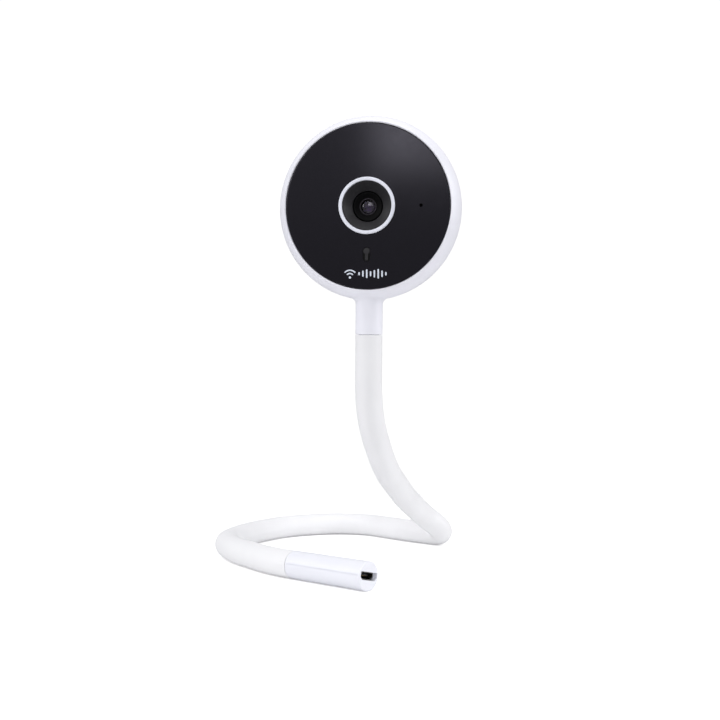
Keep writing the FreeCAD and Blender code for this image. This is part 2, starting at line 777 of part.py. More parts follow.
def make_ir_leds():
    """Six infrared emitters round the lens, behind the dark panel."""
    top = D.led_board_thick - D.frame_front
    pieces = []
    for i, (x, y) in enumerate(ring_points(D.led_circle, range(0, 360, 60))):
        base = block(f"led_{i}_base", x, y, top, (2.8, 2.8, 0.7))
        dome = rod(f"led_{i}_dome", x, y, top + 0.6, 0.4, 1.1)
        pieces.append(fuse(f"led_{i}", [base, dome]))
    return group("ir_leds", HEAD, pieces)


def make_microphone():
    return plate("microphone", HEAD, [(D.mic_across, 0, 1.9)], D.led_board_thick - D.frame_front, 1.1)


def make_microphone_boot():
    """The rubber ring that seals the microphone to its hole in the panel."""
    rings = [(D.mic_across, 0, 2.2), (D.mic_across, 0, D.mic_hole / 2)]
    return plate("microphone_boot", HEAD, rings, -0.9, 0.5)


def make_light_sensor():
    return plate("light_sensor", HEAD, [box_loop(0, -D.window_down + 1.4, 2.0, 1.6)],
                 D.led_board_thick - D.frame_front, 0.9)


def make_lens_holder():
    """The block that the barrel screws into, with a rail for the filter carriage behind it."""
    height = D.sensor_board_front - D.holder_front
    holder = plate("lens_holder", HEAD, [box_loop(0, 0, 17.4, 14.0)], -D.sensor_board_front, height)
    pocket(holder, [(0, 0, BARREL)], -D.holder_front, D.barrel_back - D.holder_front)
    pocket(holder, [(0, 0, 3.4)], -D.holder_front, height)
    pocket(holder, [box_loop(0, 0, 15.8, 8.6)], -7.6, 1.2)
    pocket(holder, [box_loop(0, 0, 15.8, 7.2)], -7.6, height - 3.0)
    for x, _ in SENSOR_POSTS:
        pocket(holder, [(x, 0, 1.9)], -D.holder_front, height)
    return holder


def make_filter_carriage():
    """The infrared filter's sliding carriage: two windows, the day one on the lens axis."""
    at = -D.carriage_travel / 2
    holes = [(at + D.carriage_travel / 2, 0, 1.8), (at - D.carriage_travel / 2, 0, 1.8)]
    return plate("filter_carriage", HEAD, [box_loop(at, 0, 10.0, 8.2)] + holes, -8.6, 0.8)


def make_filter_glass():
    """The day filter and the clear night window, bonded in the carriage."""
    places = (0, -D.carriage_travel)
    return group("filter_glass", HEAD, [
        rod(f"filter_glass_{i}", x, 0, -8.5, 0.5, 1.8) for i, x in enumerate(places)])


def make_sensor_board():
    board = plate("sensor_board", HEAD, [box_loop(0, 0, 26.0, 19.0)],
                  -D.sensor_board_front - D.sensor_board_thick, D.sensor_board_thick)
    pocket(board, [(x, y, 0.85) for x, y in SENSOR_POSTS], -D.sensor_board_front, 2)
    return board


def make_image_sensor():
    return plate("image_sensor", HEAD, [box_loop(0, 0, 6.4, 5.4)], -D.sensor_board_front, 0.9)


def make_board_connector():
    """The stacking connector between the sensor board and the main board."""
    top = D.sensor_board_front + D.sensor_board_thick
    return plate("board_connector", HEAD, [box_loop(0, 5.0, 9.0, 3.0)], -D.board_front,
                 D.board_front - top)


def make_main_board():
    board = plate("main_board", HEAD, [(0, 0, D.board_radius)], -BOARD_BACK, D.board_thick)
    holes = [(x, y, D.screw_radius + 0.15) for x, y in ring_points(D.post_circle, POST_ANGLES)]
    pocket(board, holes, -D.board_front + 1, D.board_thick + 2)
    return board


def make_processor_shield():
    """The tinned can over the processor, open towards the board."""
    can = plate("processor_shield", HEAD, [box_loop(0, 0, 18.0, 15.0)], -BOARD_BACK - 1.8, 1.8)
    pocket(can, [box_loop(0, 0, 17.4, 14.4)], -BOARD_BACK, 1.5)
    return can


def make_processor():
    return plate("processor", HEAD, [box_loop(0, 0, 11.0, 11.0)], -BOARD_BACK - 1.2, 1.2)


def make_reset_switch():
    switch = plate("reset_switch", HEAD, [box_loop(0, -D.button_down, 4.4, 4.4)],
                   -BOARD_BACK - 1.6, 1.6)
    pad(switch, [(0, -D.button_down, 1.1)], -BOARD_BACK - 2.0, 0.5)
    return switch


def make_reset_button():
    """The plunger in the back, flanged inside the wall so that it can't fall out."""
    inner_wall = D.back_depth - D.shell_wall
    spot = [(0, -D.button_down, D.button_radius)]
    button = plate("reset_button", HEAD, spot, -D.back_depth + 0.3, D.shell_wall + 0.2)
    pad(button, [(0, -D.button_down, 2.4)], -inner_wall + 0.1, 0.8)
    pad(button, [(0, -D.button_down, 1.1)], -inner_wall + 0.8, inner_wall - BOARD_BACK - 2.7 - 0.8)
    return button


def make_speaker_frame():
    """The speaker's steel cup, with its magnet."""
    rim = -(D.back_depth - D.shell_wall)
    cup = plate("speaker_frame", HEAD, [(0, 0, D.speaker_radius)], rim, 3.4)
    pad(cup, [(0, 0, 5.4)], rim + 3.3, 1.3)
    doc.recompute()
    back = new_sketch(cup, "XY_Plane", rim)
    add_loops(back, [(0, 0, D.speaker_radius - 0.9)])
    hollow = cup.newObject("PartDesign::Pocket", "speaker_frame_hollow")
    hollow.Profile = back
    hollow.Reversed = True
    bind(hollow, "Length", 2.6)
    return cup


def make_speaker_cone():
    """A thin cone with a flat roll at its edge, in the mouth of the cup."""
    rim = -(D.back_depth - D.shell_wall)
    edge = D.speaker_radius - 0.9
    return turned("speaker_cone", HEAD, [
        (0, rim + 1.9),
        (2.6, rim + 1.9),
        (7.2, rim + 0.5),
        (edge, rim + 0.5),
        (edge, rim + 0.8),
        (7.3, rim + 0.8),
        (2.7, rim + 2.2),
        (0, rim + 2.2),
    ])


def make_wifi_antenna():
    return plate("wifi_antenna", HEAD, [box_loop(0, 14.0, 15.0, 3.8)],
                 -(D.back_depth - D.shell_wall), 0.3)


def make_neck_retainer():
    """The flanged ferrule that locks the core's end into the collar."""
    body = new_body("neck_retainer", HEAD)
    bore = (0, COLLAR_AXIS, D.cable_diameter / 2 + 0.2)
    pad(body, [(0, COLLAR_AXIS, D.collar_bore / 2), bore], 26.0, 3.0, "XZ_Plane")
    pad(body, [(0, COLLAR_AXIS, 4.9), bore], 24.8, 1.2, "XZ_Plane")
    return body


def make_power_plug():
    """The small plug on the cable's end, pushed into the header on the main board."""
    return plate("power_plug", HEAD, [box_loop(0, -12.75, 5.4, 3.5)], -D.board_front, 3.6)


def make_power_header():
    return plate("power_header", HEAD, [box_loop(0, -9.5, 6.4, 3.0)], -D.board_front, 1.8)


def make_cable_end():
    """The cable's last stretch, from the ferrule round to its plug."""
    stops = [(Vector(*p), bend) for p, bend in (
        ((0, -29.0, COLLAR_AXIS.value), 0.0),
        ((0, -22.5, COLLAR_AXIS.value), 4.0),
        ((0, -18.0, -11.2), 4.0),
        ((0, -14.5, -11.2), 0.0),
    )]
    path = make_path("cable_end_path", stops, 0, 0)
    path.Placement = HEAD
    piece = sweep("cable_end", path, D.cable_diameter)
    piece.Label = "cable_end"
    return piece


# ---------------------------------------------------------------- tail with the USB socket

CAP_INNER = TUBE_RADIUS - D.cap_wall


def slot_loop(side):
    """The half of the socket's opening on one side: square corners above, cut ones below."""
    half, rise, corner = D.slot_width / 2, D.slot_height / 2, D.slot_corner
    if side > 0:
        return [(-half, -0.5), (half, -0.5), (half, rise), (-half, rise)]
    return [(half, 0.5), (-half, 0.5), (-half, corner - rise), (corner - half, -rise),
            (half - corner, -rise), (half, corner - rise)]


def make_cap_half(name, side):
    """Half of the rigid tail, hollow, with half of the socket's opening in its end wall."""
    floor = D.cap_length - D.cap_end_wall
    half = turned(name, TAIL, [
        (CAP_INNER, 0),
        (CAP_INNER, floor),
        (0, floor),
        (0, D.cap_length),
        (TUBE_RADIUS - D.cap_end_round, D.cap_length),
        (TUBE_RADIUS, D.cap_length - D.cap_end_round, -D.cap_end_round),
        (TUBE_RADIUS, D.seam_groove),
        (TUBE_RADIUS - D.seam_groove, 0),
    ], 180, side < 0)
    pocket(half, [slot_loop(side)], D.cap_length, D.cap_end_wall + 0.1)
    clear = TUBE_RADIUS + 0.5
    groove = [box_loop(x, 0, D.parting_depth * 2 + 1.0, D.parting_width) for x in (clear, -clear)]
    pocket(half, groove, D.cap_length + 1, D.cap_length + 2)
    return half


def make_usb_board():
    board = new_body("usb_board", TAIL)
    back = D.core_in_cap + 4.2
    pad(board, [box_loop(0, -1.85, 6.2, 0.7)], back, D.cap_length - D.cap_end_wall - 0.5 - back)
    return board


def make_usb_shell():
    """The socket's steel shell: a flattened tube with two cut corners, closed at the back."""
    half, rise, corner, wall = term(3.75), term(1.4), term(0.95), 0.3
    top = D.cap_length - D.cap_end_wall - 0.1
    length = 5.4

    def outline(inset):
        w, lift, c = half - inset, rise - inset, corner - inset * 0.6
        return [(w, lift), (-w, lift), (-w, c - lift), (c - w, -lift), (w - c, -lift), (w, c - lift)]

    shell = plate("usb_socket_shell", TAIL, [outline(0)], top - length, length)
    pocket(shell, [outline(wall)], top, length - 0.5)
    return shell


def make_usb_tongue():
    """The plastic tongue in the socket, standing on the shell's back wall."""
    back = D.cap_length - D.cap_end_wall - 0.1 - 4.9
    return plate("usb_tongue", TAIL, [box_loop(0, 0.35, 3.8, 0.65)], back, 3.9)


def make_usb_contacts():
    back = D.cap_length - D.cap_end_wall - 0.1 - 4.9
    return group("usb_contacts", TAIL, [
        block(f"usb_contact_{i}", 0.65 * (i - 2), -0.035, back, (0.35, 0.12, 3.4)) for i in range(5)])


def make_tail_clamp():
    """The crimped ring that holds the core's end in the tail."""
    rings = [(0, 0, CAP_INNER), (0, 0, D.cable_diameter / 2 + 0.1)]
    return plate("tail_clamp", TAIL, rings, D.core_in_cap, 2.6)


nodes += [
    make_main_housing(), make_rear_cover(), make_face_panel(), make_tape_ring(),
    make_lens_trim_ring(), make_lens_bezel(), make_lens_barrel(), make_lens_retaining_ring(),
    make_lens_glass(), make_sensor_window(), make_light_pipe(), make_light_sensor(),
    make_microphone(), make_microphone_boot(), make_inner_frame(), make_led_board(),
    make_ir_leds(), make_lens_holder(), make_filter_carriage(), make_filter_glass(),
    make_sensor_board(), make_image_sensor(), make_board_connector(), make_main_board(),
    make_processor_shield(), make_processor(), make_reset_switch(), make_reset_button(),
    make_speaker_frame(), make_speaker_cone(), make_wifi_antenna(), make_neck_retainer(),
    make_power_plug(), make_power_header(), make_cable_end(),
    make_screws("housing_screws", ring_points(D.post_circle, POST_ANGLES), SCREW_HEAD_TOP,
                D.screw_head_radius, D.screw_head_height, D.screw_radius, 9.0),
    make_screws("frame_screws", ring_points(FRAME_SCREW_CIRCLE, FRAME_SCREW_ANGLES), FRAME_BACK,
                1.4, 1.0, 0.75, 2.2),
    make_screws("sensor_screws", SENSOR_POSTS, D.sensor_board_front + D.sensor_board_thick,
                1.4, 0.9, 0.7, 4.0),
    make_cap_half("usb_cap_upper", 1), make_cap_half("usb_cap_lower", -1),
    make_usb_board(), make_usb_shell(), make_usb_tongue(), make_usb_contacts(), make_tail_clamp(),
]

# ---------------------------------------------------------------- checks and files

doc.recompute()
faults = [f"{thing.Label}: {', '.join(thing.State)}" for thing in doc.Objects
          if {"Invalid", "Error"} & set(thing.State)]
faults += [f"{node.Label}: no valid shape" for node in nodes
           if node.Shape.isNull() or not node.Shape.isValid()]
if faults:
    raise RuntimeError("; ".join(faults))

os.makedirs("parts", exist_ok=True)
whole = FreeCAD.BoundBox()
for node in nodes:
    node.Shape.exportStep(f"parts/{node.Label}.step")
    whole.add(node.Shape.optimalBoundingBox())
print(len(nodes), "nodes; box", [round(size, 2) for size in (
    whole.XMin, whole.XMax, whole.YMin, whole.YMax, whole.ZMin, whole.ZMax)])
for hinge in HINGES:
    print("hinge", hinge, [round(c, 3) for c in hinge_point(hinge)],
          [round(c, 4) for c in hinge_direction(hinge)])
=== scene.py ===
import json
import math

import bmesh
import bpy
from mathutils import Matrix, Vector

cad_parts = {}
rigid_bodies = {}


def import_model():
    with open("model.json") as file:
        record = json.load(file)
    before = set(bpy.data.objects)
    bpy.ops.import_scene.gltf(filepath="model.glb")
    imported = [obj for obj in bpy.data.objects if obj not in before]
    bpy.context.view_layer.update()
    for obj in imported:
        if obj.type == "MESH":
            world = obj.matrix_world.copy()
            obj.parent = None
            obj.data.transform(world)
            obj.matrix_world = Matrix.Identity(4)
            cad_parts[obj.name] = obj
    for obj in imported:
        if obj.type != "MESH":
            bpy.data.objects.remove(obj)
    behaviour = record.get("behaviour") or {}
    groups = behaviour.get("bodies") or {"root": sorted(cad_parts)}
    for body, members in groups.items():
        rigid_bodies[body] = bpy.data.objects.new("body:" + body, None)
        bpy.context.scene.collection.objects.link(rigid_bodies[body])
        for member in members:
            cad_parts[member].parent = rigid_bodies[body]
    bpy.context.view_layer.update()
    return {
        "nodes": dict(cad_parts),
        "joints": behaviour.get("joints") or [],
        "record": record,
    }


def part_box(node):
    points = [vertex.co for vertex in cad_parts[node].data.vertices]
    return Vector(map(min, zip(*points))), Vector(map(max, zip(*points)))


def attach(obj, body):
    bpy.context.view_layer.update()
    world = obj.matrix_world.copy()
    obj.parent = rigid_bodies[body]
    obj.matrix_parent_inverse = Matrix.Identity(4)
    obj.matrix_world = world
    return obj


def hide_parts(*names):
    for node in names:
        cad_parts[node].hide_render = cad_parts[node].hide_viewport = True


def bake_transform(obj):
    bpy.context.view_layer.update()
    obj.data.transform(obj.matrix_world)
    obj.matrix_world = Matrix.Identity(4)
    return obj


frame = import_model()

# Baby monitor camera on a bendable gooseneck. Lengths are written in millimetres and scaled to
# metres as each mesh is made. Head pieces are drawn in the head's own frame, with +Z out of the
# lens. Lights, floor and camera are in metres.

MM = 0.001


# ---------------------------------------------------------------- places, from the frame

def middle(node):
    low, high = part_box(node)
    return (low + high) / 2


def named(rows, name):
    return next(row for row in rows if row["name"] == name)


def local_frame(origin, x_axis, z_axis):
    """The matrix from a local frame in millimetres to the row frame in metres."""
    z_axis = z_axis.normalized()
    y_axis = z_axis.cross(x_axis).normalized()
    turned = Matrix((y_axis.cross(z_axis), y_axis, z_axis)).transposed().to_4x4()
    return Matrix.Translation(origin) @ turned @ Matrix.Scale(MM, 4)


HEAD_OUT = Vector(named(frame["joints"], "reset_press")["axis"])
HEAD_RIGHT = Vector(named(frame["joints"], "head_tilt")["axis"])
# How far the foam tape's middle lies behind the head frame's origin.
TAPE_MIDDLE = 1.35
HEAD = local_frame(middle("tape_ring") + HEAD_OUT * TAPE_MIDDLE * MM, HEAD_RIGHT, HEAD_OUT)

TAIL_MOUNT = named(frame["record"]["mounts"], "tail_outside")
TAIL_OUT = Vector(TAIL_MOUNT["axis"]).normalized()
CAP_LENGTH = TAIL_MOUNT["dims"]["length_mm"]
TUBE_RADIUS = TAIL_MOUNT["dims"]["r_mm"]
TAIL_SEAM = Vector(TAIL_MOUNT["pos_m"]) - TAIL_OUT * CAP_LENGTH / 2 * MM

# The gooseneck's line, as in the CAD model: each bend's corner and its radius, in millimetres.
COLLAR_END = 48.3
SHELL_MIDDLE = 8.0
NECK_TOP_RUN = 31.5
NECK_TOP_BEND = 38.0
NECK_BENDS = [
    ((20.4, -25.7, 39.3), 50.0),
    ((29.9, 1.8, 25.3), 120.0),
    ((40.1, 25.2, 14.4), 12.0),
    ((52.2, 30.4, TUBE_RADIUS), 6.6),
    ((33.2, 48.8, TUBE_RADIUS), 60.0),
    ((6.5, 80.9, TUBE_RADIUS), 26.0),
    ((-26.9, 65.1, TUBE_RADIUS), 40.0),
    ((-42.8, 36.6, TUBE_RADIUS), 78.0),
    ((-49.2, 7.0, TUBE_RADIUS), 34.0),
    ((-41.7, -14.9, TUBE_RADIUS), 60.0),
    ((-23.9, -42.9, TUBE_RADIUS), 82.0),
]


# ---------------------------------------------------------------- meshes

def finish_mesh(name, made, body, finish, node_names=(), sharp=math.radians(40)):
    """Turn a bmesh into a piece of the object with its material, body and slot."""
    bmesh.ops.recalc_face_normals(made, faces=made.faces)
    mesh = bpy.data.meshes.new(name)
    made.to_mesh(mesh)
    made.free()
    mesh.shade_smooth()
    mesh.set_sharp_from_angle(angle=sharp)
    piece = bpy.data.objects.new(name, mesh)
    bpy.context.scene.collection.objects.link(piece)
    mesh.materials.append(finish)
    if body:
        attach(piece, body)
    if node_names:
        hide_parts(*node_names)
    return piece


def rounded(points, steps=5):
    """A closed outline whose corners with a third number are rounded to that radius."""
    outline = []
    for i, point in enumerate(points):
        corner = Vector(point[:2])
        if len(point) == 2:
            outline.append(corner)
            continue
        before = (Vector(points[i - 1][:2]) - corner).normalized()
        after = (Vector(points[(i + 1) % len(points)][:2]) - corner).normalized()
        half = before.angle(after) / 2
        reach = point[2] / math.tan(half)
        centre = corner + (before + after).normalized() * point[2] / math.sin(half)
        first, last = corner + before * reach - centre, corner + after * reach - centre
        turn = first.angle_signed(last)
        for step in range(steps + 1):
            outline.append(centre + Matrix.Rotation(-turn * step / steps, 2) @ first)
    return outline


def arc_points(start, end, radius, steps):
    """Points on the arc from start to end, anticlockwise if the radius is positive; no ends."""
    start, end = Vector(start), Vector(end)
    chord = end - start
    rise = math.sqrt(radius ** 2 - (chord.length / 2) ** 2)
    side = Vector((-chord.y, chord.x)).normalized() * math.copysign(1, radius)
    centre = (start + end) / 2 + side * rise
    turn = (start - centre).angle_signed(end - centre)
    return [tuple(centre + Matrix.Rotation(-turn * i / steps, 2) @ (start - centre))
            for i in range(1, steps)]


def lathe(outline, place, segments=160):
    """A closed solid turned about the local Z from an outline of radius, height points."""
    made = bmesh.new()
    rings = []
    for radius, height in outline:
        if radius < 1e-6:
            rings.append([made.verts.new((0, 0, height))])
            continue
        angles = [math.tau * i / segments for i in range(segments)]
        rings.append([made.verts.new((radius * math.cos(a), radius * math.sin(a), height))
                      for a in angles])
    for ring, following in zip(rings, rings[1:] + rings[:1]):
        if len(ring) == len(following) == 1:
            continue
        for i in range(segments):
            j = (i + 1) % segments
            corners = [ring[i % len(ring)], ring[j % len(ring)],
                       following[j % len(following)], following[i % len(following)]]
            made.faces.new(list(dict.fromkeys(corners)))
    made.transform(place)
    return made


# ---------------------------------------------------------------- materials

def linear(red, green, blue):
    """An sRGB colour of 0 to 255 as linear numbers with alpha."""
    def channel(value):
        value /= 255
        return value / 12.92 if value <= 0.04045 else ((value + 0.055) / 1.055) ** 2.4
    return (channel(red), channel(green), channel(blue), 1.0)


def moulded(name, colour, roughness, grain, bump, shade=0.04, cloud=60.0, **sockets):
    """A procedural surface: cloudy tone, uneven gloss and a fine grain in relief."""
    made = bpy.data.materials.new(name)
    made.use_nodes = True
    nodes, links = made.node_tree.nodes, made.node_tree.links
    shader = nodes["Principled BSDF"]
    for socket, value in sockets.items():
        shader.inputs[socket.replace("_", " ").title().replace("Ior", "IOR")].default_value = value
    place = nodes.new("ShaderNodeTexCoord")

    def noise(scale, detail):
        made_noise = nodes.new("ShaderNodeTexNoise")
        made_noise.inputs["Scale"].default_value = scale
        made_noise.inputs["Detail"].default_value = detail
        links.new(place.outputs["Object"], made_noise.inputs["Vector"])
        return made_noise.outputs["Fac"]

    tone = nodes.new("ShaderNodeValToRGB")
    tone.color_ramp.elements[0].position = 0.35
    tone.color_ramp.elements[1].position = 0.65
    tone.color_ramp.elements[0].color = [c * (1 - shade) for c in colour[:3]] + [1.0]
    tone.color_ramp.elements[1].color = [min(1.0, c * (1 + shade)) for c in colour[:3]] + [1.0]
    links.new(noise(cloud, 3.0), tone.inputs["Fac"])
    links.new(tone.outputs["Color"], shader.inputs["Base Color"])

    gloss = nodes.new("ShaderNodeMapRange")
    gloss.inputs["To Min"].default_value = roughness * 0.85
    gloss.inputs["To Max"].default_value = min(1.0, roughness * 1.15)
    links.new(noise(cloud * 7, 2.0), gloss.inputs["Value"])
    links.new(gloss.outputs["Result"], shader.inputs["Roughness"])

    relief = nodes.new("ShaderNodeBump")
    relief.inputs["Strength"].default_value = bump
    relief.inputs["Distance"].default_value = 0.1 * MM
    links.new(noise(grain, 2.0), relief.inputs["Height"])
    links.new(relief.outputs["Normal"], shader.inputs["Normal"])
    return made


FINISHES = {
    "shell_white": moulded("shell_abs", linear(243, 243, 251), 0.34, 5200, 0.05, 0.012),
    "panel_black": moulded("panel_acrylic", linear(8, 7, 12), 0.22, 900, 0.004, 0.1,
                           specular_ior_level=0.5, specular_tint=(0.88, 0.85, 1.0, 1.0)),
    "trim_white": moulded("trim_abs", linear(240, 242, 253), 0.3, 4000, 0.03, 0.02),
    "bezel_dark": moulded("bezel_abs", linear(29, 28, 32), 0.5, 6000, 0.2, 0.08),
    "barrel_black": moulded("barrel_anodised", linear(5, 5, 6), 0.6, 5000, 0.1, 0.1,
                            specular_ior_level=0.12),
    "sleeve_white": moulded("sleeve_silicone", linear(241, 241, 243), 0.5, 3600, 0.09, 0.015),
    "core_steel": moulded("core_steel", linear(150, 150, 154), 0.35, 2500, 0.2, metallic=1.0),
    "cable_jacket": moulded("cable_jacket", linear(200, 200, 202), 0.55, 2600, 0.1),
    "lens_glass": moulded("lens_blank", linear(20, 16, 34), 0.03, 500, 0.0, 0.2),
    "window_smoke": moulded("window_acrylic", linear(7, 7, 8), 0.3, 900, 0.02, 0.1,
                            specular_ior_level=0.2),
    "light_pipe_clear": moulded("pipe_acrylic", linear(38, 37, 39), 0.35, 2500, 0.1),
    "frame_black": moulded("frame_abs", linear(26, 26, 28), 0.5, 3500, 0.2, 0.1),
    "board_green": moulded("board_mask", linear(18, 74, 40), 0.35, 2800, 0.15, 0.15),
    "chip_black": moulded("chip_epoxy", linear(22, 22, 23), 0.55, 6000, 0.2, 0.1),
    "can_tin": moulded("can_tin", linear(186, 186, 190), 0.3, 3000, 0.1, metallic=1.0),
    "contact_gold": moulded("contact_gold", linear(226, 184, 96), 0.25, 3000, 0.05, metallic=1.0),
    "screw_steel": moulded("screw_zinc", linear(168, 168, 172), 0.32, 3500, 0.1, metallic=1.0),
    "seal_rubber": moulded("seal_rubber", linear(24, 24, 25), 0.7, 3000, 0.3),
    "tape_black": moulded("tape_foam", linear(20, 20, 20), 0.85, 2500, 0.6),
    "led_clear": moulded("led_epoxy", linear(190, 190, 178), 0.15, 2000, 0.02),
    "filter_tint": moulded("filter_glass", linear(120, 70, 92), 0.06, 900, 0.0, 0.1),
    "cone_paper": moulded("cone_paper", linear(34, 34, 35), 0.8, 4200, 0.5, 0.15),
    "plug_white": moulded("plug_nylon", linear(236, 232, 220), 0.45, 3000, 0.1),
    "button_white": moulded("button_abs", linear(224, 225, 230), 0.36, 5000, 0.06),
    "usb_steel": moulded("usb_steel", linear(150, 148, 146), 0.28, 2600, 0.1, metallic=1.0),
    "usb_black": moulded("usb_insulator", linear(26, 24, 24), 0.5, 3200, 0.2, 0.1),
}

# Pieces whose finish differs from that of the others in their slot.
RETAINER_FINISH = moulded("retainer_anodised", linear(64, 61, 66), 0.34, 5000, 0.1, metallic=0.8)
TAIL_FINISH = moulded("tail_abs", linear(238, 239, 246), 0.34, 5200, 0.05, 0.012)
OWN_FINISHES = {
    "lens_retaining_ring": RETAINER_FINISH,
    "usb_cap_upper": TAIL_FINISH,
    "usb_cap_lower": TAIL_FINISH,
}
CLEAR_GLASS = moulded("lens_clear", linear(236, 232, 246), 0.0, 500, 0.0, 0.01,
                      transmission_weight=1.0)
COATED_GLASS = moulded("lens_coated", linear(24, 10, 44), 0.08, 500, 0.0, 0.2,
                       specular_tint=(0.7, 0.35, 1.0, 1.0))
ACOUSTIC_MESH = moulded("acoustic_mesh", linear(4, 4, 4), 0.9, 9000, 0.8, specular_ior_level=0.05)
DIFFUSER = moulded("diffuser_acrylic", linear(40, 39, 42), 0.4, 3000, 0.1)
MARK_INK = moulded("mark_ink", linear(226, 234, 246), 0.5, 5000, 0.1, 0.02)


def finish_cad_nodes():
    """Give every CAD node the procedural material of its slot."""
    for row in frame["record"]["subparts"]:
        node = frame["nodes"][row["node"]]
        finish = OWN_FINISHES.get(row["node"], FINISHES[row["material_slot"]])
        node.data.materials.clear()
        node.data.materials.append(finish)


# ---------------------------------------------------------------- face and lens

PANEL_RADIUS = 31.175
PANEL_CROWN = 1.9
CROWN_ARC = (PANEL_RADIUS ** 2 + PANEL_CROWN ** 2) / (PANEL_CROWN * 2)
MIC_ACROSS = 20.3
MIC_HOLE = 0.65
MIC_MESH_DEPTH = 0.35
MIC_MESH_GAP = 0.02
WINDOW_DOWN = 18.2
DIFFUSER_RADIUS = 1.2
DIFFUSER_UP = 1.25
DIFFUSER_DEPTH = 0.02
DISC_THICK = 0.2


def crown(x, y):
    """The height of the face panel's dome above its edge, at a place on it."""
    return math.sqrt(CROWN_ARC ** 2 - x * x - y * y) - CROWN_ARC + PANEL_CROWN


def make_lens():
    """The front element and the coated one behind it, with a black spacer between them."""
    clear = [(0, -1.8)] + arc_points((0, -1.8), (2.75, -2.6), -5.13, 14)
    clear += [(2.75, -2.6), (2.75, -2.95), (3.1, -2.95), (3.1, -3.5), (2.4, -3.5)]
    clear += arc_points((2.4, -3.5), (0, -2.9), 5.1, 10) + [(0, -2.9)]
    finish_mesh("lens_front_element", lathe(clear, HEAD), "head", CLEAR_GLASS,
                ["lens_glass"])
    coated = [(0, -3.3)] + arc_points((0, -3.3), (1.9, -4.1), -2.66, 12)
    coated += [(1.9, -4.1), (2.2, -4.1), (2.2, -4.7), (0, -4.7)]
    finish_mesh("lens_rear_element", lathe(coated, HEAD), "head", COATED_GLASS)
    spacer = rounded([(2.0, -4.05, 0.08), (3.15, -3.6, 0.08), (3.2, -4.35), (2.25, -4.35)])
    finish_mesh("lens_spacer", lathe(spacer, HEAD), "head",
                FINISHES["barrel_black"])


def make_mic_mesh():
    """The woven disc that closes the microphone's hole just under the panel's surface."""
    top = crown(MIC_ACROSS, 0) - MIC_MESH_DEPTH
    low, edge = top - DISC_THICK, MIC_HOLE - MIC_MESH_GAP
    outline = rounded([(0, low), (edge, low), (edge, top, 0.05), (0, top)])
    place = HEAD @ Matrix.Translation((MIC_ACROSS, 0, 0))
    finish_mesh("mic_mesh", lathe(outline, place, 48), "head", ACOUSTIC_MESH)


def make_diffuser():
    """The pale disc over the light sensor, at the top of the window."""
    top = crown(0, WINDOW_DOWN) - DIFFUSER_DEPTH
    low, edge = top - DISC_THICK, DIFFUSER_RADIUS
    outline = rounded([(0, low), (edge, low), (edge, top, 0.06), (0, top)])
    place = HEAD @ Matrix.Translation((0, DIFFUSER_UP - WINDOW_DOWN, 0))
    finish_mesh("light_diffuser", lathe(outline, place, 64), "head", DIFFUSER)


def bar_outline(x, y, width, height, steps=8):
    """A bar with round ends, centred on x, y."""
    radius = min(width, height) / 2
    across, along = width / 2 - radius, height / 2 - radius
    outline = []
    for quarter, (side, up) in enumerate(((1, 1), (-1, 1), (-1, -1), (1, -1))):
        for step in range(steps + 1):
            angle = math.pi / 2 * (quarter + step / steps)
            outline.append((x + side * across + radius * math.cos(angle),
                            y + up * along + radius * math.sin(angle)))
    return outline


def wave_outline(x, y, radius, width, spread, steps=16):
    """Part of a ring over x, y that opens upwards by spread to either side, in radians."""
    outline = []
    for reach, way in ((radius + width / 2, 1), (radius - width / 2, -1)):
        for step in range(steps + 1):
            angle = math.pi / 2 + way * spread * (2 * step / steps - 1)
            outline.append((x + reach * math.cos(angle), y + reach * math.sin(angle)))
    return outline


# The mark's signal sign: its dot's place and width, and its two waves.
SIGN_PLACE = (-6.3, -26.8)
SIGN_DOT = 0.9
WAVE_RADII = (1.5, 2.7)
WAVE_WIDTH = 0.5
WAVE_SPREAD = 0.85
# Its row of sound-level bars: the first one's place, their step, width and heights.
BARS_PLACE = (-2.8, -25.4)
BAR_STEP = 1.45
BAR_WIDTH = 0.58
BAR_HEIGHTS = (1.2, 2.3, 3.3, 1.9, 2.8, 3.6, 2.4, 1.3)
INK_THICK = 0.03


def make_mark():
    """A plain printed mark under the window: a signal sign and a row of sound-level bars."""
    outlines = [bar_outline(*SIGN_PLACE, SIGN_DOT, SIGN_DOT)]
    outlines += [wave_outline(*SIGN_PLACE, radius, WAVE_WIDTH, WAVE_SPREAD)
                 for radius in WAVE_RADII]
    for i, height in enumerate(BAR_HEIGHTS):
        across = BARS_PLACE[0] + BAR_STEP * i
        outlines.append(bar_outline(across, BARS_PLACE[1], BAR_WIDTH, height))
    made = bmesh.new()
    for outline in outlines:
        flat = list(dict.fromkeys((round(x, 5), round(y, 5)) for x, y in outline))
        top = [made.verts.new((x, y, crown(x, y) + INK_THICK)) for x, y in flat]
        base = [made.verts.new((x, y, crown(x, y) - INK_THICK)) for x, y in flat]
        made.faces.new(top)
        made.faces.new(base[::-1])
        for i in range(len(flat)):
            made.faces.new((top[i - 1], base[i - 1], base[i], top[i]))
    made.transform(HEAD)
    finish_mesh("face_mark", made, "head", MARK_INK)


# ---------------------------------------------------------------- gooseneck sleeve

# The distance between the centreline's points, and how many of them ease a bend on each side.
LINE_STEP = 0.5
LINE_EASE = 5


